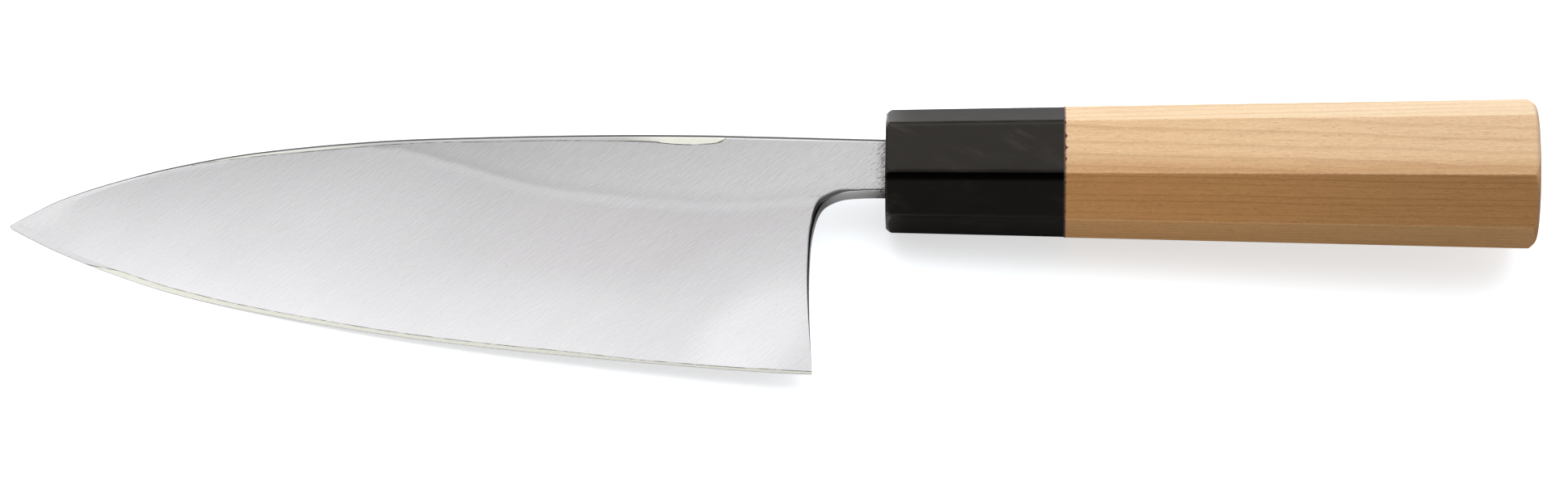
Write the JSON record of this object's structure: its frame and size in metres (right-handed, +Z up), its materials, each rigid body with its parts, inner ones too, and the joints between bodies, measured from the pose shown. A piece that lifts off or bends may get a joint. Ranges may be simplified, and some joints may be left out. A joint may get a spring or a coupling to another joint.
{
  "type": "deba knife",
  "caption": "Thick single-bevel fish knife with a hollow-ground back, black horn ferrule and eight-sided pale wood handle, lying on its bevel.",
  "frame": {"origin": "The centre of the knife's outline on the table, at table height.", "axes": "+X runs from the tip to the butt, +Y from the edge to the spine, and +Z is up. The knife lies with the hollow back of its blade up, on its bevel near the tip and on the ferrule's lower front corner, as it comes to rest on a table."},
  "size_m": [0.284, 0.056, 0.0316],
  "materials": {
    "soft_iron": "satin",
    "hard_steel": "satin",
    "black_horn": "gloss",
    "pale_wood": "satin",
    "dark_glue": "matte",
    "resin": "matte",
    "dark_filler": "matte"
  },
  "bodies": {
    "root": {"blade_body": "soft_iron", "edge_steel": "hard_steel", "horn_ferrule": "black_horn", "wood_grip": "pale_wood", "glue_joint": "dark_glue", "tang_bedding": "resin", "mouth_seal": "dark_filler"}
  },
  "joints": []
}
